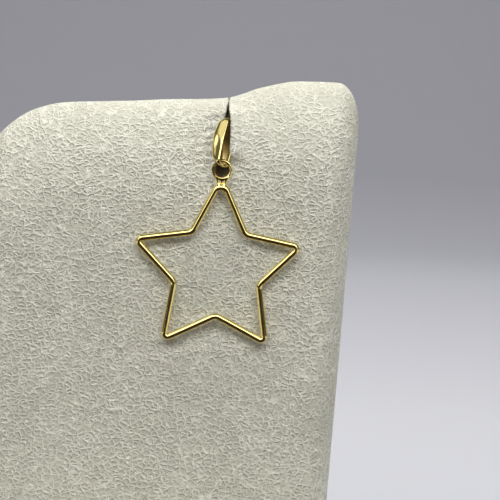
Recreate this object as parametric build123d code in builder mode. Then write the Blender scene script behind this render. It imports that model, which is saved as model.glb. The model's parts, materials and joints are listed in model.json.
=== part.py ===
from build123d import *
from math import cos, radians, sin, sqrt
import os

# A gold star pendant, hanging by its bail from a padded leatherette display stand.
# Millimetres. The floor is Z = 0, the front of the stand looks along -Y, and the
# origin lies on the floor under the middle of the stand.

# Star of bent round wire, measured along the centre line of the wire
star_wire = 1.0
star_tip_radius = 13.2
star_notch_radius = 6.9
tip_bend = 0.55
notch_bend = 1.2
apex_height = 12.7
apex_flat = 1.2
apex_bend = 0.6

# Jump ring soldered to the flat apex
ring_wire = 0.5
ring_radius = 1.33
ring_rise = 0.97
solder_foot = 0.95
solder_waist = 1.18
solder_reach = 1.9
solder_rise = 1.34
solder_thick = 0.46

# Tapered bail, a loop of strip: wide at its top, narrow where it holds the ring
bail_thick = 0.4
bail_length = 7.6
bail_foot_depth = 2.6
bail_belly_depth = 2.95
bail_crown_depth = 2.2
bail_foot_width = 0.75
bail_middle_width = 1.5
bail_top_width = 2.1
bail_foot_bend = 0.42
bail_crown_bend = 0.66
bail_edge = 0.16
bail_turn = 36
bail_lean = 25

# Display stand: a padded panel on a foot plate
pad_height = 80.0
pad_width = 60.0
pad_thick = 12.0
pad_crown_rise = 17.0
foot_width = 64.0
foot_depth = 38.0
foot_thick = 5.0
foot_corner = 4.0
foot_edge = 1.0

# Slit in the top of the pad that grips the bail
slit_depth = 6.5
slit_mouth = 0.5
slit_aside = 0.5
slit_below_hang = 2.9

# Where the pendant hangs on the stand
hang_aside = 9.6
hang_drop = 10.1

# Clearances
star_clearance = 0.75
ring_clearance = 0.1
slit_clearance = 0.3

# Top edge of the pad from left to right: place across, height of the edge and
# thickness, as shares of half the width, of the height and of the thickness
pad_sections = [
    # (across, height, thickness)
    (-1.00, 0.70, 0.45),
    (-0.97, 0.77, 0.80),
    (-0.90, 0.82, 0.96),
    (-0.80, 0.880, 1.0),
    (-0.64, 0.920, 1.0),
    (-0.50, 0.936, 1.0),
    (0.02, 0.956, 1.0),
    (0.34, 0.972, 1.0),
    (0.50, 0.988, 1.0),
    (0.68, 1.000, 1.0),
    (0.88, 0.999, 1.0),
    (0.95, 0.985, 0.93),
    (1.00, 0.945, 0.55),
]


def edge_height(across):
    """Height of the pad's top edge over the pad's underside, at a share of the half width."""
    for left, right in zip(pad_sections, pad_sections[1:]):
        if left[0] <= across <= right[0]:
            part_way = (across - left[0]) / (right[0] - left[0])
            return pad_height * (left[1] + part_way * (right[1] - left[1]))
    return pad_height


pad_front = -pad_thick / 2
pad_base = foot_thick
half_width = pad_width / 2

# The point that the star swings about: the middle of the ring's wire at its top
hang_x = hang_aside
hang_y = pad_front - star_clearance - star_wire / 2
hang_z = pad_base + edge_height(hang_x / half_width) - hang_drop
star_centre_z = hang_z - ring_radius * 2 - ring_rise - apex_height
ring_centre_z = hang_z - ring_radius

star_plane = Plane(origin=(hang_x, hang_y, star_centre_z), x_dir=(1, 0, 0), z_dir=(0, -1, 0))


def star_point(radius, degrees):
    """A corner of the star, by its distance from the centre and its angle from the top."""
    return (radius * sin(radians(degrees)), radius * cos(radians(degrees)))


def star_corners():
    """The corners of the bent wire and the bend of each, from the apex round to the apex."""
    corners = [((apex_flat / 2, apex_height), apex_bend)]
    for step in range(9):
        degrees = 36 + 36 * step
        if step % 2 == 0:
            corners.append((star_point(star_notch_radius, degrees), notch_bend))
        else:
            corners.append((star_point(star_tip_radius, degrees), tip_bend))
    corners.append(((-apex_flat / 2, apex_height), apex_bend))
    return corners


with BuildPart() as star:
    with BuildLine(star_plane) as star_line:
        FilletPolyline(
            [point for point, bend in star_corners()],
            radius=[bend for point, bend in star_corners()],
            close=True,
        )
    start = star_line.wires()[0]
    with BuildSketch(Plane(origin=start @ 0, z_dir=start % 0)):
        Circle(star_wire / 2)
    sweep(path=start)
    # Jump ring
    with Locations(Location((hang_x, hang_y, ring_centre_z), (90, 0, 0))):
        Torus(ring_radius, ring_wire / 2)
    # Solder that fills the corner between the ring and the flat apex, on both sides
    with BuildSketch(star_plane):
        with BuildLine():
            foot_left = (-solder_foot / 2, apex_height)
            foot_right = (solder_foot / 2, apex_height)
            waist_left = (-solder_waist / 2, apex_height + solder_rise / 2)
            waist_right = (solder_waist / 2, apex_height + solder_rise / 2)
            side_left = (-solder_reach / 2, apex_height + solder_rise)
            side_right = (solder_reach / 2, apex_height + solder_rise)
            Line(foot_left, foot_right)
            ThreePointArc(foot_right, waist_right, side_right)
            ThreePointArc(side_right, (0, apex_height + ring_rise), side_left)
            ThreePointArc(side_left, waist_left, foot_left)
        make_face()
    extrude(amount=solder_thick / 2, both=True)
star.part.label = "star"

# The bail stands on the hang point, turned about its own length and leaning back
lean = radians(bail_lean)
turn = radians(bail_turn)
bail_up = Vector(0, sin(lean), cos(lean))
back = Vector(0, cos(lean), -sin(lean))
bail_across = Vector(1, 0, 0) * cos(turn) - back * sin(turn)
bail_inward = Vector(1, 0, 0) * sin(turn) + back * cos(turn)
hang_point = Vector(hang_x, hang_y, hang_z)
side_plane = Plane(origin=hang_point, x_dir=bail_inward, z_dir=bail_inward.cross(bail_up))
front_plane = Plane(origin=hang_point, x_dir=bail_across, z_dir=bail_across.cross(bail_up))

# The ring's round inside rests on the edges of the strip, so the strip's middle lies lower
ring_inside = ring_radius - ring_wire / 2
strip_half = bail_foot_width / 2 / cos(turn)
ring_sag = ring_inside - sqrt(ring_inside**2 - strip_half**2)
bail_low = -ring_wire / 2 - ring_sag - ring_clearance - bail_thick
bail_high = bail_low + bail_length
bail_belly = bail_low + bail_length / 2

with BuildPart() as bail:
    # Side view of the loop, less its opening
    for inset, mode in ((0, Mode.ADD), (bail_thick, Mode.SUBTRACT)):
        foot = bail_foot_depth / 2 - inset
        belly = bail_belly_depth / 2 - inset
        crown = bail_crown_depth / 2 - inset
        low = bail_low + inset
        high = bail_high - inset
        foot_bend = bail_foot_bend + bail_thick - inset
        crown_bend = bail_crown_bend + bail_thick - inset
        with BuildSketch(side_plane):
            with BuildLine():
                FilletPolyline(
                    [(-foot, low), (foot, low), (belly, bail_belly),
                     (crown, high), (-crown, high), (-belly, bail_belly)],
                    radius=[foot_bend, foot_bend, bail_length, crown_bend, crown_bend, bail_length],
                    close=True,
                )
            make_face()
        extrude(amount=bail_top_width, both=True, mode=mode)
    # Front view: the strip widens upwards
    with BuildSketch(front_plane):
        with BuildLine():
            foot_half = bail_foot_width / 2
            middle_half = bail_middle_width / 2
            top_half = bail_top_width / 2
            Line((-foot_half, bail_low), (foot_half, bail_low))
            ThreePointArc((foot_half, bail_low), (middle_half, bail_belly), (top_half, bail_high))
            Line((top_half, bail_high), (-top_half, bail_high))
            ThreePointArc((-top_half, bail_high), (-middle_half, bail_belly), (-foot_half, bail_low))
        make_face()
    extrude(amount=bail_belly_depth, both=True, mode=Mode.INTERSECT)
    fillet(bail.edges(), bail_edge)
bail.part.label = "bail"

# The slit runs straight into the pad: a narrow mouth at the pad's top edge, then a
# pocket round the bail, closed again below the ring. Its places are measured from the
# hang point, and the pocket's sides pass through points at shares of its half width.
slit_plane = Plane(origin=(hang_x, pad_front, hang_z), x_dir=(1, 0, 0), z_dir=(0, -1, 0))
bail_box = bail.part.bounding_box()
pocket_half = bail_box.size.X / 2 + slit_clearance
pocket_round = 0.75 * pocket_half
pocket_shoulder = bail_box.max.Z - hang_z - 0.2 * pocket_half
pocket_top = bail_box.max.Z - hang_z + pocket_half
pocket_middle = pocket_top * 0.4
slit_top = hang_drop + pad_thick
mouth_left = slit_aside - slit_mouth / 2
mouth_right = slit_aside + slit_mouth / 2

with BuildPart() as display_pad:
    for across, height, thickness in pad_sections:
        edge = pad_base + pad_height * height
        half_thick = pad_thick * thickness / 2
        spring = edge - pad_crown_rise
        with BuildSketch(Plane.YZ.offset(half_width * across)):
            with BuildLine():
                Polyline((-half_thick, spring), (-half_thick, pad_base),
                         (half_thick, pad_base), (half_thick, spring))
                EllipticalCenterArc((0, spring), half_thick, pad_crown_rise, start_angle=0, arc_size=180)
            make_face()
    loft(ruled=True)
    with BuildSketch(slit_plane):
        with BuildLine():
            Polyline((mouth_right, pocket_top), (mouth_right, slit_top),
                     (mouth_left, slit_top), (mouth_left, pocket_top))
            ThreePointArc((mouth_left, pocket_top), (-pocket_round, pocket_shoulder),
                          (-pocket_half, pocket_middle))
            ThreePointArc((-pocket_half, pocket_middle), (-pocket_round, 0), (0, -slit_below_hang))
            ThreePointArc((0, -slit_below_hang), (pocket_round, 0), (pocket_half, pocket_middle))
            ThreePointArc((pocket_half, pocket_middle), (pocket_half, pocket_shoulder),
                          (mouth_right, pocket_top))
        make_face()
    extrude(amount=-slit_depth, mode=Mode.SUBTRACT)
display_pad.part.label = "display_pad"

with BuildPart() as display_foot:
    with BuildSketch():
        RectangleRounded(foot_width, foot_depth, foot_corner)
    extrude(amount=foot_thick)
    fillet(display_foot.faces().sort_by(Axis.Z)[-1].edges(), foot_edge)
display_foot.part.label = "display_foot"

os.makedirs("parts", exist_ok=True)
export_step(star.part, "parts/star.step")
export_step(bail.part, "parts/bail.step")
export_step(display_pad.part, "parts/display_pad.step")
export_step(display_foot.part, "parts/display_foot.step")
print("hang point", hang_x, hang_y, round(hang_z, 3), "star centre height", round(star_centre_z, 3))
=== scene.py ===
# %% [markdown]
# # A gold star pendant on its display stand
# The real object is an open star of round gold wire. A small jump ring is soldered on its flat apex, and
# a tapered bail holds the ring. The bail sits in the slit of a padded panel covered in cream leatherette.
# Each cell makes one piece or one finish, and the text before it says what the real thing is and why it
# is made this way.
#
# The imported solids fix every place and size, so they are loaded first, with a way to read the box round
# each.

# %% Load the imported solids
import json
from math import cos, pi, radians, sin, sqrt

import bmesh
import bpy
import numpy as np
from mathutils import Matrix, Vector, noise


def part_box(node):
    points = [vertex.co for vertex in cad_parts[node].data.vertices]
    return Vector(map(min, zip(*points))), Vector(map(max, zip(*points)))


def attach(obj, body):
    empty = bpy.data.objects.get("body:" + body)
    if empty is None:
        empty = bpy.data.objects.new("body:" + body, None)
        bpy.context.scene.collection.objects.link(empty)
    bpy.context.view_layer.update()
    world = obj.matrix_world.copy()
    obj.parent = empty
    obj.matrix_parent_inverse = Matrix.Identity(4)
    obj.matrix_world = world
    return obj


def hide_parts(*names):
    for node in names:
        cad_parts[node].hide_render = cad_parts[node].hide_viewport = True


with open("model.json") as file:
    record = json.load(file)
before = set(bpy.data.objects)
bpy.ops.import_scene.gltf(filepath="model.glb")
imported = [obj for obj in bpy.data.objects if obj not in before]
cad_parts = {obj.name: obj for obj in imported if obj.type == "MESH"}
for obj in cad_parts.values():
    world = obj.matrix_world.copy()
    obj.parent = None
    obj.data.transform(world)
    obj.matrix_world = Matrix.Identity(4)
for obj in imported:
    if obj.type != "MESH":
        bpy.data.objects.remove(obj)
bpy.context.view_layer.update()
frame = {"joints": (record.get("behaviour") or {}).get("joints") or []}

MM = 0.001
hang = Vector(frame["joints"][0]["pos_m"])
star_centre = hang - Vector((0, 0, 16.33 * MM))
print("the star hangs from", [round(v / MM, 2) for v in hang], "mm")

# %% [markdown]
# ## Camera
# A long lens from 35 cm keeps the star's arms straight and equal. The camera looks down a little, because
# the pendant is shown below eye level, and it is rolled three degrees, so the hanging star looks turned.
# All of these are real lengths, and the lens follows from them.


# %% Place the camera
def new_object(name, data):
    """An object in the scene, at the origin."""
    made = bpy.data.objects.new(name, data)
    bpy.context.scene.collection.objects.link(made)
    return made


camera_distance = 350 * MM
camera_height = radians(5)
camera_roll = radians(3)
view_width = 75.1 * MM
view_middle = star_centre + Vector((4.86, 0, 3.16)) * MM
towards_camera = Vector((0, -cos(camera_height), sin(camera_height)))

lens = bpy.data.cameras.new("view")
lens.sensor_width = 36
lens.lens = lens.sensor_width * camera_distance / view_width
lens.clip_start = 0.01
camera = new_object("view", lens)
camera.rotation_euler = towards_camera.to_track_quat("Z", "Y").to_euler()
camera.rotation_euler.rotate_axis("Z", camera_roll)
camera.location = view_middle + camera_distance * towards_camera
bpy.context.scene.camera = camera
print("lens", round(lens.lens, 1), "mm")

# %% [markdown]
# ## Arithmetic on sockets
# Finishes and node trees both need sums, such as the distance to a ring. A chain of Math nodes is hard to
# read, so a small class wraps one output socket, and Python's own operators add the nodes. Numbers use
# Math, vectors use Vector Math, and colours are mixed, because a Math node would turn them grey.


# %% A socket that takes part in Python expressions
def adds_node(operation, swapped=False):
    """A Python operator that adds one Math node. It is swapped where a plain number comes first."""

    def method(socket, *other):
        values = (*other, socket) if swapped else (socket, *other)
        return socket.bench.maths(operation, *values)

    return method


class Socket:
    """One output of a node. An operator on it adds the node that works the result out."""

    __add__ = adds_node("ADD")
    __radd__ = adds_node("ADD", swapped=True)
    __sub__ = adds_node("SUBTRACT")
    __rsub__ = adds_node("SUBTRACT", swapped=True)
    __mul__ = adds_node("MULTIPLY")
    __rmul__ = adds_node("MULTIPLY", swapped=True)
    __truediv__ = adds_node("DIVIDE")
    __pow__ = adds_node("POWER")
    __gt__ = adds_node("GREATER_THAN")
    __lt__ = adds_node("LESS_THAN")
    __abs__ = adds_node("ABSOLUTE")

    def __init__(self, bench, output):
        self.bench = bench
        self.output = output

    def __neg__(self):
        return self * -1

    def of(self, name):
        """Another output of the same node."""
        return Socket(self.bench, self.output.node.outputs[name])


print("a socket can be added, multiplied and compared")

# %% [markdown]
# ## A bench for node trees
# Every other node comes from one method, `add`. It takes the node's type, what goes into its sockets and
# its settings by name, such as a Math node's operation. The settings are made first, because they decide
# which sockets a node has. The rest of the bench is shorthand for nodes that come up all the time.


# %% Add any node with one method
class Bench:
    """A node tree with one method that adds any node."""

    def __init__(self, tree):
        self.tree = tree

    def add(self, kind, sockets=None, **settings):
        """Adds a node: its settings first, then its sockets. Gives its first output."""
        made = self.tree.nodes.new(kind)
        for name, value in settings.items():
            setattr(made, name, value)
        for name, value in (sockets or {}).items():
            self.feed(self.find(made.inputs, name), value)
        outputs = [output for output in made.outputs if output.enabled]
        return Socket(self, outputs[0]) if outputs else None

    def find(self, inputs, name):
        """A socket by its place, or by the name that it shows."""
        if isinstance(name, int):
            return inputs[name]
        return next(one for one in inputs if one.enabled and one.name == name)

    def feed(self, target, source):
        """Links a socket, or sets a plain value."""
        if isinstance(source, Socket):
            self.tree.links.new(source.output, target)
        elif target.type == "VECTOR" and isinstance(source, (int, float)):
            target.default_value = (source,) * 3
        elif target.type == "RGBA" and len(source) == 3:
            target.default_value = (*source, 1)
        else:
            target.default_value = source

    def maths(self, operation, *values):
        """A Math node, or a Vector Math node where a value is a vector."""
        kinds = [value.output.type for value in values if isinstance(value, Socket)]
        is_vector = "VECTOR" in kinds or "RGBA" in kinds
        kind = "ShaderNodeVectorMath" if is_vector else "ShaderNodeMath"
        return self.add(kind, dict(enumerate(values)), operation=operation)

    def mix(self, share, first, second):
        """A colour between two colours."""
        sockets = {"Factor": share, "A": first, "B": second}
        return self.add("ShaderNodeMix", sockets, data_type="RGBA", clamp_factor=True)

    def between(self, value, low, high):
        """0 below low, 1 above high and a smooth step between them."""
        sockets = {"Value": value, "From Min": low, "From Max": high}
        return self.add("ShaderNodeMapRange", sockets, interpolation_type="SMOOTHSTEP")

    def noise(self, place, scale, detail):
        """Smooth noise. The scale is about the number of its patches in a metre."""
        sockets = {"Vector": place, "Scale": scale, "Detail": detail}
        return self.add("ShaderNodeTexNoise", sockets)

    def join(self, x, y, z):
        return self.add("ShaderNodeCombineXYZ", {"X": x, "Y": y, "Z": z})

    def split(self, vector):
        """The three numbers of a vector."""
        x = self.add("ShaderNodeSeparateXYZ", {"Vector": vector})
        return x, x.of("Y"), x.of("Z")

    def spot(self):
        """The place on the piece, in metres from its origin."""
        return self.add("ShaderNodeTexCoord").of("Object")

    def bump(self, strength, distance, height):
        """A normal that follows a height. A height of one stands out by the distance."""
        sockets = {"Strength": strength, "Distance": distance, "Height": height}
        return self.add("ShaderNodeBump", sockets)

    def shade(self, surface):
        """Feeds the surface shader of a material."""
        for name, value in surface.items():
            self.feed(self.tree.nodes["Principled BSDF"].inputs[name], value)


print("the bench adds, mixes, joins and splits")

# %% [markdown]
# ## Polished gold
# The gold is polished but has seen wear: its reflections have soft edges, and hairlines run along the way
# it was drawn. A metal's colour is the colour of its mirror image, so the base colour is a warm yellow
# and the metallic value is one. The hairlines are noise stretched along the metal. They need a direction,
# so each piece has an attribute named `drawn`: its first number runs along the wire or strip, its second
# round or across it, and its third paints the metal brown and makes it rougher: painted shade, inside the
# bail and on the ring's left side.


# %% Make the gold finishes
def new_finish(name):
    """An empty material and its bench."""
    material = bpy.data.materials.new(name)
    material.use_nodes = True
    return material, Bench(material.node_tree)


def polished_gold(name, hairline_depth, dullness):
    material, bench = new_finish(name)
    drawn = bench.add("ShaderNodeAttribute", attribute_name="drawn").of("Vector")
    along, across, painted_shade = bench.split(drawn)
    scale_along, scale_across = 250, 9000
    stretched = bench.join(along * scale_along, across * scale_across, 0.0)
    hairlines = bench.noise(stretched, 1.0, 3.0)
    place = bench.spot()
    clouds = bench.noise(place, 420.0, 2.0)
    rubbed = bench.noise(place, 1500.0, 3.0)
    deep_yellow, pale_yellow, brown = (0.86, 0.68, 0.22), (1.0, 0.87, 0.42), (0.22, 0.14, 0.035)
    colour = bench.mix(0.40 + 0.9 * (clouds - 0.5), deep_yellow, pale_yellow)
    # Painted shade: where the third number of `drawn` is set, the gold is painted brown and made rougher
    colour = bench.mix(painted_shade, colour, brown)
    roughness = dullness + 0.08 * (rubbed - 0.4) + 0.03 * hairlines + 0.12 * painted_shade
    surface = {
        "Base Color": colour,
        "Metallic": 1.0,
        "Roughness": roughness,
        "Normal": bench.bump(1.0, hairline_depth, 0.6 * hairlines + 0.4 * rubbed),
    }
    bench.shade(surface)
    return material


gold_wire = polished_gold("gold_wire", hairline_depth=0.003 * MM, dullness=0.05)
gold_strip = polished_gold("gold_strip", hairline_depth=0.003 * MM, dullness=0.07)
gold_solder = polished_gold("gold_solder", hairline_depth=0.006 * MM, dullness=0.09)
print("gold finishes:", gold_wire.name, gold_strip.name, gold_solder.name)

# %% [markdown]
# ## Pieces from node trees
# The star, its ring and the bail all follow a rule or a path, so Geometry Nodes make them, from named
# sizes. A modifier runs each tree once. The result is taken as a plain mesh and the modifier goes, so
# what is kept is ordinary geometry that any other program reads.


# %% Run a node tree and keep its mesh
def new_recipe(name, sizes):
    """An empty geometry tree whose named inputs default to the sizes. Gives its bench and the inputs."""
    tree = bpy.data.node_groups.new(name, "GeometryNodeTree")
    tree.is_modifier = True
    tree.interface.new_socket("Geometry", in_out="OUTPUT", socket_type="NodeSocketGeometry")
    for size, value in sizes.items():
        socket = tree.interface.new_socket(size, in_out="INPUT", socket_type="NodeSocketFloat")
        socket.default_value = value
    bench = Bench(tree)
    entry = bench.add("NodeGroupInput")
    return bench, {size: entry.of(size) for size in sizes}


def close_up(piece):
    """Makes all faces of a closed piece point outwards, and prints its size."""
    shell = bmesh.new()
    shell.from_mesh(piece.data)
    bmesh.ops.recalc_face_normals(shell, faces=shell.faces)
    shell.to_mesh(piece.data)
    shell.free()
    size = [round(v / MM, 2) for v in piece.dimensions]
    print(piece.name, "has", len(piece.data.polygons), "faces and measures", size, "mm")


def run_recipe(bench, name, shape, material):
    """Ends the tree, runs it on a new object and keeps the result as a plain mesh."""
    real = bench.add("GeometryNodeRealizeInstances", {"Geometry": shape})
    smooth = bench.add("GeometryNodeSetShadeSmooth", {"Geometry": real})
    finished = bench.add("GeometryNodeSetMaterial", {"Geometry": smooth, "Material": material})
    bench.add("NodeGroupOutput", {"Geometry": finished})
    piece = new_object(name, bpy.data.meshes.new(name))
    piece.modifiers.new(name, "NODES").node_group = bench.tree
    graph = bpy.context.evaluated_depsgraph_get()
    plain = bpy.data.meshes.new_from_object(piece.evaluated_get(graph), depsgraph=graph)
    piece.modifiers.clear()
    piece.data = plain
    plain.name = name
    close_up(piece)
    return piece


print("recipes become plain meshes")

# %% [markdown]
# ## Bent lines and sections
# A goldsmith bends wire or strip round pins, so both the star and the bail are a closed line through a
# few corners, each rounded with its own bend. The tree makes a point for each corner, moves it to its
# place, rounds it, divides the line evenly and sweeps a circle along it. What a point must know later,
# such as how far along the wire it lies, is stored on it under a name.


# %% Helpers for lines through corners
def remember(bench, shape, name, value, kind="FLOAT"):
    """Stores a value on every point of a shape."""
    sockets = {"Geometry": shape, "Name": name, "Value": value}
    return bench.add("GeometryNodeStoreNamedAttribute", sockets, data_type=kind, domain="POINT")


def recall(bench, name, kind="FLOAT"):
    return bench.add("GeometryNodeInputNamedAttribute", {"Name": name}, data_type=kind)


def bent_line(bench, corner_count, place, bend, step):
    """A closed line through numbered corners, each rounded with its own bend."""
    corners = bench.add("GeometryNodeMeshLine", {"Count": corner_count})
    corners = remember(bench, corners, "bend", bend)
    corners = bench.add("GeometryNodeSetPosition", {"Geometry": corners, "Position": place})
    line = bench.add("GeometryNodeMeshToCurve", {"Mesh": corners})
    line = bench.add("GeometryNodeSetSplineCyclic", {"Geometry": line, "Cyclic": True})
    rounding = {"Curve": line, "Count": 20, "Radius": recall(bench, "bend"), "Limit Radius": True}
    line = bench.add("GeometryNodeFilletCurve", rounding, mode="POLY")
    return bench.add("GeometryNodeResampleCurve", {"Curve": line, "Length": step}, mode="LENGTH")


def swept_tube(bench, line, radius, points_round):
    """Sweeps a circle along a line. A point remembers how far along and how far round it is."""
    line = remember(bench, line, "along", bench.add("GeometryNodeSplineParameter").of("Length"))
    circle = {"Resolution": points_round, "Radius": radius}
    section = bench.add("GeometryNodeCurvePrimitiveCircle", circle, mode="RADIUS")
    section = remember(bench, section, "around", bench.add("GeometryNodeSplineParameter"))
    return bench.add("GeometryNodeCurveToMesh", {"Curve": line, "Profile Curve": section})


print("lines can be bent and swept")

# %% [markdown]
# ## The star's wire
# The real star is one length of round wire, bent at ten corners and closed at a flat apex. Its corners
# obey a rule: they stand 36 degrees apart round the centre, and tips and notches take turns at two
# distances. So the tree works each corner out from its number, with two corners for the flat at the top.
# The star was bent by hand, so its centre and five of its corners lie a hair off the rule. Bent wire is
# never quite straight either: a very slight wave in the centre line makes the reflections swim along it.

# %% Sizes of the star
star_sizes = {
    "Tip radius": 13.2 * MM,
    "Notch radius": 6.8 * MM,
    "Apex height": 12.4 * MM,
    "Apex flat": 1.3 * MM,
    "Tip bend": 0.55 * MM,
    "Notch bend": 1.2 * MM,
    "Apex bend": 0.85 * MM,
    "Wire": 1.0 * MM,
    "Wave": 0.02 * MM,
    "Wave seed": 4.0,
}
bent_centre = star_centre + Vector((0.08, 0, -0.08)) * MM
hand_bent = [
    # (number of the corner, to the right, upwards), in millimetres
    (2, -0.28, -0.01),
    (3, -0.12, 0.08),
    (5, 0.12, -0.14),
    (6, 0.14, -0.24),
    (7, 0.08, 0.0),
]
print("the star has", len(hand_bent), "corners off the rule")

# %% Bend the star
bench, size = new_recipe("bent star wire", star_sizes)
# Corners 0 and 10 are the ends of the apex flat, and corner 5 is the notch at the bottom
bottom = 5.0
number = bench.add("GeometryNodeInputIndex") * 1.0
at_apex = abs(number - bottom) > bottom - 0.5
at_tip = 1 - bench.maths("MODULO", number, 2.0)
angle = number * radians(36)
radius = (1 - at_tip) * size["Notch radius"] + at_tip * size["Tip radius"]
flat_end = (1 - number / bottom) * size["Apex flat"] / 2.0
corner_x = (1 - at_apex) * radius * bench.maths("SINE", angle) + at_apex * flat_end
corner_z = (1 - at_apex) * radius * bench.maths("COSINE", angle) + at_apex * size["Apex height"]
for corner, right, up in hand_bent:
    is_corner = abs(number - corner) < 0.5
    corner_x = corner_x + is_corner * (right * MM)
    corner_z = corner_z + is_corner * (up * MM)
bend = (1 - at_tip) * size["Notch bend"] + at_tip * size["Tip bend"]
bend = (1 - at_apex) * bend + at_apex * size["Apex bend"]
place = bench.join(corner_x, 0.0, corner_z) + tuple(bent_centre)
line = bent_line(bench, 11, place, bend, step=0.1 * MM)
on_line = bench.add("GeometryNodeInputPosition")
waves = {"Vector": on_line, "W": size["Wave seed"], "Scale": 260.0, "Detail": 1.0}
wave = bench.add("ShaderNodeTexNoise", waves, noise_dimensions="4D").of("Color")
wave = (wave - 0.5) * (2 * size["Wave"])
line = bench.add("GeometryNodeSetPosition", {"Geometry": line, "Offset": wave})
wire = swept_tube(bench, line, size["Wire"] / 2.0, points_round=28)
around = recall(bench, "around") * (pi * size["Wire"])
drawn = bench.join(recall(bench, "along"), around, 0.0)
wire = remember(bench, wire, "drawn", drawn, "FLOAT_VECTOR")
star_wire = run_recipe(bench, "star_wire", wire, gold_wire)
print("the star is", round(star_wire.dimensions.x / MM, 2), "mm wide")

# %% [markdown]
# ## Jump ring and solder
# The ring stands on the flat apex. Solder has flowed up between them in two thick strokes, like ears,
# with a hollow between. Flowed metal has no edges, so it is best described by distances: to the ring, to
# the apex flat and to each ear, with a minimum that fills the corner where two of them meet. The tree
# fills a block of space with that distance and takes the surface where it is zero. It works in
# millimetres, because the grid can't be this fine in metres, and shrinks the result. Its flat is a hair
# thinner than the swept wire and hides in it, so that only the solder shows.

# %% Sizes of the ring, and distances in the star's plane
ring_sizes = {
    "Ring radius": 1.33,
    "Ring wire": 0.5,
    "Ring rise": 1.35,
    "Flat": 0.5,
    "Flat thickness": 0.98,
    "Ear thickness": 0.58,
    "Hollow thickness": 0.36,
    "Web": 0.30,
}
bench, size = new_recipe("ring and solder", ring_sizes)
x, y, z = bench.split(bench.add("GeometryNodeInputPosition"))


def length_of(*parts):
    squares = sum((part * part for part in parts[1:]), parts[0] * parts[0])
    return bench.maths("SQRT", squares)


def to_rod(start, end, thickness):
    """Distance to a round rod between two points, each a place across and a height."""
    run_x, run_z = end[0] - start[0], end[1] - start[1]
    share = ((x - start[0]) * run_x + (z - start[1]) * run_z) / (run_x * run_x + run_z * run_z)
    share = bench.maths("MAXIMUM", bench.maths("MINIMUM", share, 1.0), 0.0)
    off_x, off_z = x - start[0] - share * run_x, z - start[1] - share * run_z
    return length_of(off_x, y, off_z) - thickness / 2.0


def flowed(first, second, web):
    """The smaller of two distances, with the corner between them filled."""
    near = bench.maths("MAXIMUM", web - abs(first - second), 0.0) / web
    return bench.maths("MINIMUM", first, second) - near * near * web / 4.0


print("distances to rods can flow together")

# %% Solder the ring on the apex
ring_height = size["Ring rise"] + size["Ring radius"]
to_ring = length_of(length_of(x, z - ring_height) - size["Ring radius"], y) - size["Ring wire"] / 2.0
half_flat = ring_sizes["Flat"] / 2
ear_foot, ear_top, hollow_foot, hollow_top = (0.32, 0.15), (0.78, 1.45), (0.0, 0.3), (0.0, 1.3)
distance = to_rod((-half_flat, 0.0), (half_flat, 0.0), size["Flat thickness"])
for side in (-1, 1):
    foot, top = ((side * across, height) for across, height in (ear_foot, ear_top))
    distance = flowed(distance, to_rod(foot, top, size["Ear thickness"]), size["Web"])
to_hollow = to_rod(hollow_foot, hollow_top, size["Hollow thickness"])
distance = bench.maths("MINIMUM", distance, to_hollow)
distance = flowed(distance, to_ring, size["Web"])

block_low, block_high, grid = (-2.2, -0.9, -1.2), (2.2, 0.9, 4.4), 0.045
block = {"Density": 0.5 - distance, "Background": 0.0, "Min": block_low, "Max": block_high}
for axis, low, high in zip("XYZ", block_low, block_high):
    block["Resolution " + axis] = int((high - low) / grid)
block = bench.add("GeometryNodeVolumeCube", block)
cut = {"Volume": block, "Threshold": 0.5, "Adaptivity": 0.0}
metal = bench.add("GeometryNodeVolumeToMesh", cut, resolution_mode="GRID")
# Painted shade: the ring's left side is painted brown and made rougher
painted_shade_left = 0.95 * bench.between(-x, -0.9, 0.2) * bench.between(z, 1.15, 1.7)
metal = remember(bench, metal, "drawn", bench.join(x * MM, z * MM, painted_shade_left), "FLOAT_VECTOR")
apex = bent_centre + Vector((0, 0, star_sizes["Apex height"]))
shrink = {"Geometry": metal, "Translation": tuple(apex), "Scale": (MM, MM, MM)}
metal = bench.add("GeometryNodeTransform", shrink)
jump_ring = run_recipe(bench, "jump_ring", metal, gold_solder)

# %% [markdown]
# ## The bail
# The bail is a tapered strip of sheet gold, bent to a loop: narrow where it holds the ring, wide at its
# closed top. It is turned about its length, so the back of the loop shows beside the front. Its outer
# face is domed by the press, its inner face is flat, and its edges are rounded by the polish. The tree
# bends the side view of the loop, sweeps a circle along it, and then moves each point of the tube to
# where the strip's section has it: so far outwards for the thickness, so far across for the width at
# that height. The real bail is fuller on its left and leans, so the rule has a part for each.

# %% Sizes and directions of the bail
bail_sizes = {
    "Length": 7.6 * MM,
    "Foot depth": 2.66 * MM,
    "Belly depth": 2.95 * MM,
    "Crown depth": 2.2 * MM,
    "Foot width": 0.75 * MM,
    "Middle width": 1.5 * MM,
    "Top width": 2.1 * MM,
    "Foot bend": 0.62 * MM,
    "Belly bend": 14.2 * MM,
    "Crown bend": 0.86 * MM,
    "Thickness": 0.4 * MM,
    "Low": -0.855 * MM,
    "Left swell": 0.46 * MM,
    "Lean": 0.075,
}
bail_lean = radians(25)
bail_turn = radians(36)
bail_up = Vector((0, sin(bail_lean), cos(bail_lean)))
bail_back = Vector((0, cos(bail_lean), -sin(bail_lean)))
bail_across = Vector((1, 0, 0)) * cos(bail_turn) - bail_back * sin(bail_turn)
bail_inward = Vector((1, 0, 0)) * sin(bail_turn) + bail_back * cos(bail_turn)
print("the bail leans back", round(bail_lean, 3), "and is turned by", round(bail_turn, 3))

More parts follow.
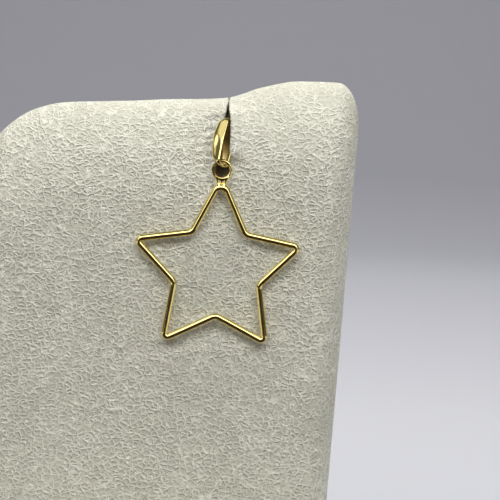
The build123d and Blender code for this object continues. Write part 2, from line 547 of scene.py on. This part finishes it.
# %% Bend the strip's line
bench, size = new_recipe("bent bail strip", bail_sizes)
number = bench.add("GeometryNodeInputIndex") * 1.0
in_front = number > 2.5
level = (1 - in_front) * number + in_front * (5.0 - number)
on_foot, on_crown = level < 0.5, level > 1.5
on_belly = 1 - on_foot - on_crown
depth = on_foot * size["Foot depth"] + on_belly * size["Belly depth"] + on_crown * size["Crown depth"]
bend = on_foot * size["Foot bend"] + on_belly * size["Belly bend"] + on_crown * size["Crown bend"]
corner_y = (1 - 2 * in_front) * (depth - size["Thickness"]) / 2.0
low_line = size["Low"] + size["Thickness"] / 2.0
loop_height = size["Length"] - size["Thickness"]
corner_z = low_line + level / 2.0 * loop_height
line = bent_line(bench, 6, bench.join(0.0, corner_y, corner_z), bend, step=0.07 * MM)
run_x, run_y, run_z = bench.split(bench.add("GeometryNodeInputTangent"))
line = remember(bench, line, "outward", bench.join(0.0, run_z, -run_y), "FLOAT_VECTOR")
line = remember(bench, line, "spot", bench.add("GeometryNodeInputPosition"), "FLOAT_VECTOR")
strip = swept_tube(bench, line, 0.1 * MM, points_round=40)
print("the strip's line has six corners")


# %% [markdown]
# A circle's sine and cosine, each made blunter with a power below one, go round a rounded oblong: the
# strip's section. The outer half is lowered towards its edges for the dome, and more so high up, where
# the strip is wide. A curve through three widths gives the half width at any height.

# %% Give the strip its section
def blunter(value, power):
    return bench.maths("SIGN", value) * abs(value) ** power


around = recall(bench, "around") * (2 * pi)
share_across = blunter(bench.maths("COSINE", around), 0.45)
share_out = blunter(bench.maths("SINE", around), 0.7)
is_outer, is_left = share_out > 0.0, share_across < 0.0
spot_x, spot_y, spot_z = bench.split(recall(bench, "spot", "FLOAT_VECTOR"))
height = (spot_z - low_line) / loop_height
dome = 0.30 + 0.35 * bench.between(height, 0.30, 0.75)
rise = size["Thickness"] / 2.0 * share_out * (1 - dome * is_outer * share_across * share_across)

foot_half, middle_half, top_half = (size[name] / 2.0 for name in ("Foot width", "Middle width", "Top width"))
first_slope = 4.0 * middle_half - 3.0 * foot_half - top_half
second_slope = 2.0 * (top_half + foot_half) - 4.0 * middle_half
half_across = foot_half + first_slope * height + second_slope * height * height
behind = bench.between(spot_y, -0.8 * MM, 0.2 * MM)
narrowings = [
    # (share that is taken off, where)
    (0.3 * is_left, 1 - bench.between(height, 0.02, 0.12)),
    (0.32 * is_left, bench.between(height, 0.66, 1.0)),
    (0.5 * (1 - is_left) * behind, bench.between(height, 0.66, 0.95)),
]
for share, where in narrowings:
    half_across = half_across * (1 - share * where)
swollen = bench.between(height, 0.03, 0.16) * (1 - bench.between(height, 0.62, 1.0))
half_across = half_across + size["Left swell"] * is_left * swollen

out_x, out_y, out_z = bench.split(recall(bench, "outward", "FLOAT_VECTOR"))
own_x = share_across * half_across + size["Lean"] * (spot_z - low_line - 0.9 * MM)
own_y, own_z = spot_y + out_y * rise, spot_z + out_z * rise
turned = [
    own_x * bail_across[axis] + own_y * bail_inward[axis] + own_z * bail_up[axis] + hang[axis]
    for axis in range(3)
]
place = {"Geometry": strip, "Position": bench.join(*turned)}
strip = bench.add("GeometryNodeSetPosition", place)
# Painted shade: the strip's inner face is painted brown and made rougher, more so high up in the loop
painted_shade_inside = (1 - is_outer) * (0.45 + 0.55 * bench.between(height, 0.15, 0.42))
drawn = bench.join(recall(bench, "along"), own_x, painted_shade_inside)
strip = remember(bench, strip, "drawn", drawn, "FLOAT_VECTOR")
bail_strip = run_recipe(bench, "bail_strip", strip, gold_strip)

# %% [markdown]
# ## Cream leatherette
# The stand is covered in cream leatherette. Its grain is a net of fine ridges round small pebbles, with a
# coarser net of creases over it and fine wrinkles on each pebble. Light from above makes the ridges read
# as bright threads with a dark line under each. The grain is pressed into the sheet and about 0.2 mm
# deep, so bump carries it. A Voronoi texture measures the distance to the edge between two cells, and
# noise bends those edges. The threads fade here and there, because the roller never bites evenly.


# %% The grain's nets
def net(bench, place, cells_per_metre, width):
    """Lines between Voronoi cells: 1 on a line, 0 past its width."""
    sockets = {"Vector": place, "Scale": cells_per_metre, "Randomness": 1.0}
    to_edge = bench.add("ShaderNodeTexVoronoi", sockets, feature="DISTANCE_TO_EDGE")
    return 1 - bench.between(to_edge, 0.0, width)


def grain(bench, place):
    """The grain's height, and the cream's lightening by wear and painted light, at a place on it."""
    wander = (bench.noise(place, 800.0, 2.0).of("Color") - 0.5) * (0.6 * MM)
    grain_place = (place + wander) * (0.84, 1.0, 1.10)
    bite = 0.35 + 0.65 * bench.between(bench.noise(place, 500.0, 2.0), 0.36, 0.56)
    pebbles, small_pebbles, folds = 1260.0, 2700.0, 480.0
    threads = net(bench, grain_place, pebbles, 0.11) * bite
    ridges = net(bench, grain_place, pebbles, 0.25) * bite
    small_ridges = net(bench, grain_place, small_pebbles, 0.28)
    creases = net(bench, place + wander * 2.0, folds, 0.06)
    wrinkles = bench.noise(grain_place, 3200.0, 3.0)
    height = 0.75 * ridges + 0.12 * small_ridges + 0.25 * creases + 0.16 * wrinkles
    wear_and_painted_light = 0.9 * threads + 0.5 * creases + 0.6 * (wrinkles - 0.5)
    return height, wear_and_painted_light, wrinkles


print("the grain is made of two nets of ridges, one net of creases and wrinkles")

# %% [markdown]
# The ridges are painted lighter than the hollows: partly wear, partly painted light and shade that deepens
# the grain's relief. Where the sheet is stretched over the panel's top edge the grain is pulled flat. The
# slit is painted the dark brown of the sheet's back, marked by the attribute `inside`, with painted shade
# that deepens into the slit.


# %% Make the leatherette
def leatherette(name, flattened_above=None):
    material, bench = new_finish(name)
    place = bench.spot()
    x, y, z = bench.split(place)
    height, wear_and_painted_light, wrinkles = grain(bench, place)
    if flattened_above is not None:
        strength = 1 - 0.5 * bench.between(z, *flattened_above)
        height, wear_and_painted_light = height * strength, wear_and_painted_light * strength
    patches = bench.noise(place, 130.0, 3.0)
    cream, shaded_cream, slit_brown_and_shade = (0.92, 0.91, 0.79), (0.515, 0.51, 0.41), (0.20, 0.155, 0.08)
    # Painted light and shade: the ridges take the cream and the hollows the shaded cream
    colour = bench.mix(0.40 + wear_and_painted_light + 0.5 * (patches - 0.5), shaded_cream, cream)
    # Painted shade: the slit is painted a dark brown, darker the deeper in
    inside = bench.add("ShaderNodeAttribute", attribute_name="inside").of("Fac")
    surface = {
        "Base Color": bench.mix(inside, colour, slit_brown_and_shade),
        "Roughness": 0.45 + 0.2 * wrinkles,
        "Specular IOR Level": 0.4,
        "Normal": bench.bump(1.0, 0.22 * MM, height),
    }
    bench.shade(surface)
    return material


pad_low, pad_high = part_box("display_pad")
pad_cover = leatherette("pad_leatherette", flattened_above=(pad_high.z - 14 * MM, pad_high.z))
foot_cover = leatherette("foot_leatherette")
print("leatherette for the pad and the foot")

# %% [markdown]
# ## The padded panel
# The panel is a board wrapped in padding and leatherette. Its top edge rises to the right in a soft wave,
# its crown is high and round, and its sides are rolled. One slit runs from the crown down to the hanging
# point. Its right lip rides up over the bail, its left lip is pressed in, and behind the ring it gapes.
#
# A cloth simulation would swell such a stiff wrapped board and pull its slit open, so the surface is laid
# as a net of rings: from the foot up the front, over the crown and down the back. Two tables give the top
# edge and the lips of the slit, and a smooth curve runs through their rows.

# %% Tables for the panel, in millimetres
half_width = (pad_high.x - pad_low.x) / 2 / MM
half_thick = (pad_high.y - pad_low.y) / 2 / MM
pad_base = pad_low.z / MM
pad_height = (pad_high.z - pad_low.z) / MM
crown_rise = 17.0
hang_mm = hang / MM

top_edge = [
    # (place across in half widths, height in pad heights)
    (-1.00, 0.70), (-0.97, 0.77), (-0.90, 0.825), (-0.80, 0.880), (-0.64, 0.922), (-0.50, 0.936),
    (-0.20, 0.9435), (0.02, 0.952), (0.20, 0.9575), (0.34, 0.9635), (0.50, 0.984), (0.68, 0.998),
    (0.88, 1.000), (1.00, 0.998),
]
slit_lips = [
    # (height over the hang point, left lip, right lip, lip radius, depth of the slit)
    (-4.2, 0.15, 0.21, 0.20, 0.80),
    (-3.0, 0.10, 0.26, 0.20, 0.80),
    (-2.7, -0.16, 0.54, 0.22, 1.30),
    (-2.1, -0.72, 1.00, 0.25, 2.40),
    (-1.2, -1.02, 1.26, 0.30, 3.20),
    (0.0, -1.00, 1.10, 0.30, 3.20),
    (1.5, -1.12, 1.02, 0.30, 3.20),
    (3.0, -1.14, 1.00, 0.30, 3.20),
    (5.0, -1.02, 0.92, 0.30, 3.20),
    (6.3, -0.62, 0.82, 0.28, 3.20),
    (6.9, 0.02, 0.68, 0.25, 3.00),
    (7.6, 0.16, 0.60, 0.22, 2.60),
    (8.8, 0.34, 0.58, 0.20, 2.20),
    (9.8, 0.44, 0.60, 0.18, 1.60),
    (10.4, 0.48, 0.62, 0.18, 1.40),
]
print("the panel is", 2 * half_width, "mm wide and", pad_height, "mm high over the foot")


# %% Smooth curves through the tables
def smooth_row(table, column, at):
    """One column of a table at any place, on a curve that never overshoots a row."""
    places = [row[0] for row in table]
    values = [row[column] for row in table]
    at = min(max(at, places[0]), places[-1])
    i = min(max(int(np.searchsorted(places, at)) - 1, 0), len(places) - 2)
    step = places[i + 1] - places[i]
    near = [min(max(k, 0), len(places) - 2) for k in (i - 1, i, i + 1)]
    rises = [(values[k + 1] - values[k]) / (places[k + 1] - places[k]) for k in near]
    slopes = [0 if a * b <= 0 else 2 * a * b / (a + b) for a, b in zip(rises, rises[1:])]
    t = (at - places[i]) / step
    start = (2 * t**3 - 3 * t**2 + 1) * values[i] + (t**3 - 2 * t**2 + t) * step * slopes[0]
    return start + (3 * t**2 - 2 * t**3) * values[i + 1] + (t**3 - t**2) * step * slopes[1]


def ease(value, low, high):
    """A smooth step from 0 at low to 1 at high."""
    t = min(max((value - low) / (high - low), 0.0), 1.0)
    return t * t * (3 - 2 * t)


def hump(value, start, full, fade, end):
    """A smooth rise from start to full and a smooth fall from fade to end."""
    return ease(value, start, full) * (1 - ease(value, fade, end))


def bell(away, width):
    """1 at a place and fading on both sides of it."""
    return np.exp(-((away / width) ** 2))


edge_over_slit = pad_base + pad_height * smooth_row(top_edge, 1, hang_mm.x / half_width)
print("top edge over the slit:", round(edge_over_slit, 2), "mm")

# %% [markdown]
# The rings stand close together at the slit and at the rolled sides, and far apart on the flat front. The
# points of a ring are close on the front of the crown, at the slit, and far apart on the back.

# %% Places of the rings and of their points
side_roll = 5.0
slit_line = hang_mm.x + 0.5
finest_step, widest_step = 0.17, 0.79
crown_fine, crown_far = 62, 112


def places_towards_slit(start):
    """Places from a side to the slit, closer together near the slit."""
    run, way = abs(slit_line - start), 1 if slit_line > start else -1
    places, gone = [], 0.0
    while gone < run:
        places.append(start + way * gone)
        gone += finest_step + (widest_step - finest_step) * ease(run - gone, 3.6, 14.4)
    return places


def rolled_side(count):
    """Places over a rolled side, as distances from the side itself."""
    return [side_roll * (1 - sin(k / count * pi / 2)) for k in range(1, count + 1)]


left_places = [-half_width + s for s in rolled_side(10)][::-1]
left_places += places_towards_slit(side_roll - half_width)
right_places = places_towards_slit(half_width - side_roll)[::-1]
right_places += [half_width - s for s in rolled_side(14)]

stations = [("front", share) for share in np.linspace(0, 1, 118)[:-1]]
for span in ((0, crown_fine, 0.62), (crown_fine, crown_far, 1.3), (crown_far, 180, 3.4)):
    stations += [("crown", angle) for angle in np.arange(*span)]
stations += [("back", share) for share in np.linspace(1, 0, 36)]
stations += [("under", share) for share in np.linspace(1, -1, 9)[1:-1]]
print(len(stations), "points in a ring,", len(left_places) + len(right_places), "rings beside the slit")


# %% The smooth panel, before it is cut
def quarter_circle(x, reach):
    """1 on the flat, and round and down to 0 over the last stretch before a side."""
    past = max(0.0, abs(x) - (half_width - reach)) / reach
    return sqrt(max(0.0, 1 - past * past))


def edge_top(x):
    """Height of the crown's top at a place across, with the corners rounded."""
    corner_reach, corner_drop = 3.4, 6.5
    height = pad_base + pad_height * smooth_row(top_edge, 1, x / half_width)
    return height - corner_drop * (1 - quarter_circle(x, corner_reach))


def roll_share(x):
    """Share of the full thickness at a place across: the sides are rolled."""
    return max(0.03, quarter_circle(x, side_roll))


def surface_point(x, part, where):
    """A point of the smooth panel and the direction into it."""
    spring = edge_top(x) - crown_rise
    thick = half_thick * roll_share(x)
    if part == "front":
        return Vector((x, -thick, pad_base + where * (spring - pad_base))), Vector((0, 1, 0))
    if part == "back":
        return Vector((x, thick, pad_base + where * (spring - pad_base))), Vector((0, -1, 0))
    if part == "under":
        return Vector((x, thick * where, pad_base)), Vector((0, 0, 1))
    angle = radians(where)
    spot = Vector((x, -thick * cos(angle), spring + crown_rise * sin(angle)))
    return spot, Vector((0, cos(angle) * crown_rise, -sin(angle) * half_thick)).normalized()


print("the right corner's top is at", round(edge_top(half_width - 5), 2), "mm")

# %% [markdown]
# The slit takes a fixed number of rings: over the left lip, down its wall, across the bottom and up again
# on the right. Where there is no slit they lie close together on the smooth surface. The walls go back
# under the lips, because the bail is wider than the opening in front of it.

# %% The rings through the slit
lip_turn = [radians(a) for a in (0, 18, 36, 54, 72, 90)]
wall_shares = [0.12, 0.26, 0.42, 0.6, 0.8, 1.0]


def slit_side(edge, way, lip, depth, under):
    """One side of the slit: (place across, depth, how far inside). way is 1 for the right side."""
    side = [(edge + way * lip * (1 - sin(a)), lip * (1 - cos(a)), 0.0) for a in lip_turn]
    for share in wall_shares:
        back = way * under * sin(share * pi / 2)
        # How far inside also sets the slit's painted shade, darker deeper in
        side.append((edge + back, lip + share * max(depth - lip, 0.0), min(1.0, 0.4 + 2 * share)))
    return side


def slit_profile(left, right, lip, depth, under, openness):
    """Places across and depths of the rings through the slit, with how far inside each one is."""
    left_side = slit_side(left, -1, lip, depth, under)
    right_side = slit_side(right, 1, lip, depth, under)
    low_left, low_right = left_side[-1], right_side[-1]
    run = low_right[0] - low_left[0]
    floor = [(low_left[0] + run * share, low_left[1], 1.0) for share in (0.25, 0.5, 0.75)]
    rings = left_side + floor + right_side[::-1]
    closed = np.linspace(-1, 1, len(rings)) + (left + right) / 2
    return [
        (even + (across - even) * openness, deep * openness, inside * openness)
        for even, (across, deep, inside) in zip(closed, rings)
    ]


slit_count = 2 * (len(lip_turn) + len(wall_shares)) + 3
print("the slit takes", slit_count, "rings")

# %% [markdown]
# Three things disturb the smooth surface: the lips are pressed in or ride up, short wrinkles run into the
# slit, and the padding is slightly uneven everywhere.


# %% Lips, wrinkles and unevenness
def dent(x, height, left, right):
    """How far the leatherette lies in or out of its smooth surface beside the slit."""
    pressed_in, pulled_in, ridden_up = 0.85, 0.25, 1.2
    if x <= (left + right) / 2:
        return pressed_in * hump(height, -3.4, 0.5, 6.2, 9.5) * bell(max(left - x, 0.0), 1.7)
    away = max(x - right, 0.0)
    near_ring = pulled_in * hump(height, -4.0, -2.0, -1.0, 1.0) * bell(away, 1.5)
    return near_ring - ridden_up * hump(height, -0.9, 1.2, 6.6, 8.6) * bell(away, 1.9)


def wrinkle(x, height, left, right):
    """Short creases that run into the slit beside the bail and the ring."""
    depth_left, depth_right, reach, slant, apart = 0.085, 0.045, 9, 0.35, 1.25
    on_left = x < (left + right) / 2
    away = left - x if on_left else x - right
    if away < 0 or away > reach:
        return 0.0
    strength = (depth_left if on_left else depth_right) * bell(away, 2.6) * ease(away, 0.0, 0.35)
    wander = 0.9 * noise.noise(Vector((0.35 * away, 0.5 * height, 3.0)))
    wave = sin(2 * pi * (height + slant * away + wander) / apart)
    return strength * hump(height, -4.5, -2.5, 6.0, 8.5) * wave


def soft_waves(spot):
    """Slow unevenness of the padding under the leatherette."""
    wide = noise.noise(Vector((0.055 * spot.x, 0.055 * spot.y + 4, 0.05 * spot.z)))
    near = noise.noise(Vector((0.21 * spot.x, 0.21 * spot.y + 9, 0.21 * spot.z)))
    return 0.28 * wide + 0.05 * near


print("the right lip rides up by", round(-dent(1.0, 3.0, -1.14, 1.0), 2), "mm")


# %% One point of the panel
def panel_point(x_plain, part, where, column):
    """The place of one point. column is None beside the slit, or the ring's number through it."""
    smooth, inwards = surface_point(x_plain, part, where)
    on_crown = part == "crown" and where <= crown_far
    height = smooth.z - hang_mm.z if on_crown or part == "front" else slit_lips[-1][0]
    left, right, lip, depth = (smooth_row(slit_lips, c, height) for c in (1, 2, 3, 4))
    over_top = ease(where, 84, 106) if on_crown else 1.0
    openness = ease(height, -3.3, -2.5) * (1 - over_top)
    under = 0.62 * hump(height, -2.6, -0.6, 5.6, 7.6)
    rings = slit_profile(left, right, lip, depth, under, openness)
    if column is None:
        lip_edge = hang_mm.x + (rings[0][0] if x_plain <= slit_line else rings[-1][0])
        pulled = 1 - ease(abs(x_plain - slit_line), 0.0, 9.0)
        x, in_depth, inside = x_plain + (lip_edge - slit_line) * pulled, 0.0, 0.0
    else:
        across, in_depth, inside = rings[column]
        x = hang_mm.x + across
    spot, inwards = surface_point(x, part, where)
    at = x - hang_mm.x
    in_depth += (dent(at, height, left, right) + wrinkle(at, height, left, right)) * (1 - over_top)
    spot += inwards * in_depth
    if part != "under":
        spot += inwards * soft_waves(spot) * roll_share(x)
    taper, full_above = 0.03, 77
    narrowing = taper * max(0.0, full_above - spot.z) * ease(abs(spot.x), 12, half_width)
    spot.x -= narrowing if spot.x > 0 else -narrowing
    return spot, inside


middle_spot = panel_point(0.0, "front", 0.5, None)[0]
print("a point on the front:", [round(v, 2) for v in middle_spot], "mm")

# %% [markdown]
# Both the panel and its foot are rows of points, each row going once round. Neighbouring rows are joined
# with faces.


# %% Join rows of points with faces
def faces_between(row_count, row_length):
    """Faces between neighbouring closed rows of points, and one over each end."""
    faces = []
    for low in range(0, (row_count - 1) * row_length, row_length):
        for k in range(row_length):
            after = (k + 1) % row_length
            high = low + row_length
            faces.append((low + k, high + k, high + after, low + after))
    last = (row_count - 1) * row_length
    faces.append(tuple(range(row_length)))
    faces.append(tuple(range(last, last + row_length))[::-1])
    return faces


def new_piece(name, points_mm, faces, material):
    """An object at the origin from points in millimetres and faces."""
    mesh = bpy.data.meshes.new(name)
    mesh.from_pydata([tuple(Vector(point) * MM) for point in points_mm], [], faces)
    mesh.materials.append(material)
    mesh.polygons.foreach_set("use_smooth", [True] * len(faces))
    return new_object(name, mesh)


print("rows of points can be joined")

# %% Build the panel
columns = [(x, None) for x in left_places]
columns += [(slit_line, column) for column in range(slit_count)]
columns += [(x, None) for x in right_places]
net_points = [panel_point(x, part, where, column) for x, column in columns for part, where in stations]
panel_faces = faces_between(len(columns), len(stations))
padded_panel = new_piece("padded_panel", [spot for spot, inside in net_points], panel_faces, pad_cover)
inside_mark = padded_panel.data.attributes.new("inside", "FLOAT", "POINT")
inside_mark.data.foreach_set("value", [inside for spot, inside in net_points])
close_up(padded_panel)

# %% [markdown]
# ## The foot
# The panel stands on a plate in the same leatherette, with softly rolled edges: a stack of rounded
# rectangles, each inset a little less or more than the last.

# %% Wrap the foot plate
foot_low, foot_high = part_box("display_foot")
foot_size = (foot_high - foot_low) / MM
top_roll = 1.0
# Each row is an inset from the plate's outline and a height, in millimetres
foot_rows = [(1.2, 0.0), (0.35, 0.0), (0.1, 0.1), (0.0, 0.35), (0.0, 2.4)]
for a in np.linspace(0, pi / 2, 9):
    foot_rows.append((top_roll * (1 - cos(a)), foot_size.z - top_roll * (1 - sin(a))))
foot_rows += [(2.4, foot_size.z), (6.0, foot_size.z)]


def rounded_rectangle(inset, z, corner=4.0, per_corner=10):
    """Points round a rectangle with round corners."""
    bend = corner - inset if inset < corner else 0.3
    reach_x, reach_y = foot_size.x / 2 - inset - bend, foot_size.y / 2 - inset - bend
    loop = []
    for quarter, (side_x, side_y) in enumerate(((1, 1), (-1, 1), (-1, -1), (1, -1))):
        for a in np.linspace(quarter, quarter + 1, per_corner + 1) * pi / 2:
            loop.append((side_x * reach_x + bend * cos(a), side_y * reach_y + bend * sin(a), z))
    return loop


foot_loops = [rounded_rectangle(inset, z) for inset, z in foot_rows]
foot_points = [point for loop in foot_loops for point in loop]
foot_faces = faces_between(len(foot_loops), len(foot_loops[0]))
foot_plate = new_piece("foot_plate", foot_points, foot_faces, foot_cover)
close_up(foot_plate)

# %% [markdown]
# ## Floor and backdrop
# A sheet of pale card lies under the stand and curves up far behind it. Higher up its colour is painted
# darker, to a cool grey: painted shade, as away from the light. Fine fibres roughen its surface.
# Far out at the sides and in front, where no lamp reaches, it glows: painted light for a lit studio
# floor, which ends in the room without a line.

# %% Roll out the card
card_side, card_front, bend_start, card_bend, card_height = 1500, -900, 700, 300, 1300
card_rows = [(y, 0.0) for y in np.linspace(card_front, bend_start, 12)]
for a in np.linspace(0, pi / 2, 24)[1:]:
    card_rows.append((bend_start + card_bend * sin(a), card_bend * (1 - cos(a))))
card_rows += [(bend_start + card_bend, z) for z in np.linspace(card_bend, card_height, 8)[1:]]


def bent_card(name, rows, half_width, material):
    """A wide sheet through rows, each a place behind the stand's middle and a height, in millimetres."""
    points = [(side * half_width, y, z) for y, z in rows for side in (-1, 1)]
    faces = [(k, k + 1, k + 3, k + 2) for k in range(0, 2 * len(rows) - 2, 2)]
    return new_piece(name, points, faces, material)


card_paint, bench = new_finish("pale_card")
place = bench.spot()
x, y, z = bench.split(place)
# Painted shade: the card's colour darkens towards the top of the backdrop
fall = (y - 0.1) / 0.8 + z / 0.3
painted_shade_stops = [
    # (how far towards the top of the backdrop, colour)
    (0.0, (0.64, 0.65, 0.70)),
    (0.15, (0.69, 0.70, 0.75)),
    (0.6, (0.64, 0.65, 0.715)),
    (1.0, (0.445, 0.45, 0.51)),
]
shade = bench.add("ShaderNodeValToRGB", {"Fac": fall})
ramp = shade.output.node.color_ramp
while len(ramp.elements) < len(painted_shade_stops):
    ramp.elements.new(1)
for stop, (share, colour) in zip(ramp.elements, painted_shade_stops):
    stop.position, stop.color = share, (*colour, 1)
fibres = bench.noise(place, 900.0, 3.0)
# Painted light: the card glows far out at the sides and in front
at_sides, in_front = bench.between(abs(x), 0.20, 1.15), bench.between(-y, 0.12, 0.75)
painted_floor_light = bench.mix(bench.maths("MAXIMUM", at_sides, in_front), (0, 0, 0), (0.49, 0.495, 0.50))
surface = {
    "Base Color": shade,
    "Emission Color": painted_floor_light,
    "Emission Strength": 1.0,
    "Roughness": 0.75 + 0.1 * fibres,
    "Normal": bench.bump(0.3, 0.02 * MM, fibres),
}
bench.shade(surface)
pale_card = bent_card("pale_card", card_rows, card_side, card_paint)
print("the card is", 2 * card_side, "mm wide and", card_height, "mm high behind")

# %% [markdown]
# ## Black cards for the gold
# Polished wire is a mirror all round. What makes it read as round is one crisp dark line along it, under
# the bright line of the window, and photographers lay a black card in front of the piece for that. It
# also keeps pale light from rising off the floor, so the grain keeps its shadows. The card starts in
# front of the foot and is raised at its far edge, and a small one covers the foot, for the gold alone.
# They are hidden from the camera, so that no view shows them, and from the floor right below them, so
# that they leave no dark patch. They are a warm black, as the dark line on yellow gold is brown.

# %% Lay the black cards
black_paint, bench = new_finish("black_card")
x, y, z = bench.split(bench.spot())
faded_side = bench.between(abs(x) + 0.39 * y, 50 * MM, 110 * MM)
from_afar = bench.add("ShaderNodeLightPath").of("Ray Length") > 25 * MM
bench.shade({"Base Color": (0.012, 0.006, 0.002), "Roughness": 0.9, "Alpha": (1 - faded_side) * from_afar})
card_reach = 275
black_card = bent_card("black_card", [(-33, 2), (-240, 2), (-card_reach, 60)], 200, black_paint)
foot_card = bent_card("foot_card", [(-9, 7), (-20, 7), (-23, 2), (-33, 2)], 200, black_paint)
foot_card.visible_diffuse = False
for card in (black_card, foot_card):
    card.visible_camera = False
    card.visible_shadow = False
print("the black cards reach", card_reach, "mm in front of the stand's middle")

# %% [markdown]
# ## Light
# Leatherette and gold need different light. The leatherette wants one soft box high in front, which
# shades its grain and throws the wire's shadow below it, and one overhead for the crown. The gold wants a
# broad window in its upper slopes, a pane on each side, two lamps on the left for the bail's streaks, and
# darkness below. So each lamp lights one of the two: gloss can't see the lamps of the leatherette, and
# matt surfaces can't see those of the gold. The world is split in the same way, and its share of the
# leatherette's light is warm, as the shadows of gold are.


# %% Hang the soft boxes
def soft_box(name, height_degrees, turn_degrees, distance, width, depth, watts, shows_in):
    """A flat light that looks at the star. Distances are in millimetres."""
    light = bpy.data.lights.new(name, "AREA")
    light.shape = "RECTANGLE"
    light.size = width * MM
    light.size_y = depth * MM
    light.energy = watts
    lamp = new_object(name, light)
    up, turn = radians(height_degrees), radians(turn_degrees)
    away = Vector((sin(turn) * cos(up), -cos(turn) * cos(up), sin(up)))
    lamp.location = star_centre + distance * MM * away
    lamp.rotation_euler = away.to_track_quat("Z", "Y").to_euler()
    lamp.visible_diffuse = shows_in == "leatherette"
    lamp.visible_glossy = shows_in == "gold"
    return lamp


lamp_rows = [
    # (name, degrees up, degrees to the right, distance, width, depth, watts, where it shows)
    ("window_light", 36, 0, 400, 620, 270, 1.35, "gold"),
    ("left_pane", 13, -40, 400, 180, 120, 0.09, "gold"),
    ("right_pane", 13, 40, 400, 180, 120, 0.09, "gold"),
    ("side_light", 48, -78, 400, 290, 170, 0.12, "gold"),
    ("low_side_light", 28, -94, 400, 104, 78, 0.030, "gold"),
    ("main_light", 44, 0, 400, 500, 160, 1.25, "leatherette"),
    ("ceiling_light", 89, 0, 700, 500, 300, 3.5, "leatherette"),
    ("backdrop_light", 50, 180, 900, 900, 300, 2.3, "leatherette"),
]
lamps = {row[0]: soft_box(*row) for row in lamp_rows}
lamps["low_side_light"].data.shape = "ELLIPSE"
lamps["backdrop_light"].rotation_euler = (0, 0, 0)
print(len(lamps), "soft boxes")

# %% Light the world
world = bpy.data.worlds.new("studio")
bpy.context.scene.world = world
world.use_nodes = True
world.node_tree.nodes.clear()
bench = Bench(world.node_tree)
x, y, z = bench.split(bench.add("ShaderNodeTexCoord").of("Generated"))
overhead = bench.between(z, 0.18, 0.62)
ahead = bench.between(-y, 0.6, 1.0) * (1 - bench.between(z, 0.15, 0.3))
ray = bench.add("ShaderNodeLightPath")
in_gold, seen = ray.of("Is Glossy Ray"), ray.of("Is Camera Ray")
mirrored, more_overhead, less_ahead, on_leatherette, to_the_eye = 0.10, 0.04, 0.096, 0.078, 0.6
room = in_gold * (mirrored + more_overhead * overhead - less_ahead * ahead) + (1 - in_gold) * on_leatherette
room = room * (1 - seen) + to_the_eye * seen
tint = bench.mix(in_gold + seen, (1.0, 0.80, 0.42), (0.98, 0.99, 1.0))
glow = bench.add("ShaderNodeBackground", {"Color": tint, "Strength": room})
bench.add("ShaderNodeOutputWorld", {"Surface": glow})
bpy.context.scene.view_settings.view_transform = "Standard"
print("the world is dark in front of the gold")

# %% [markdown]
# ## Join the pieces to the bodies
# Each piece replaces its imported solid and rides on that solid's body, so the star swings with its ring
# and the rest stays.

# %% Give every piece its body
for piece in (star_wire, jump_ring):
    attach(piece, "star")
    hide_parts("star")
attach(bail_strip, "stand")
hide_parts("bail")
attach(padded_panel, "stand")
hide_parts("display_pad")
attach(foot_plate, "stand")
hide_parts("display_foot")
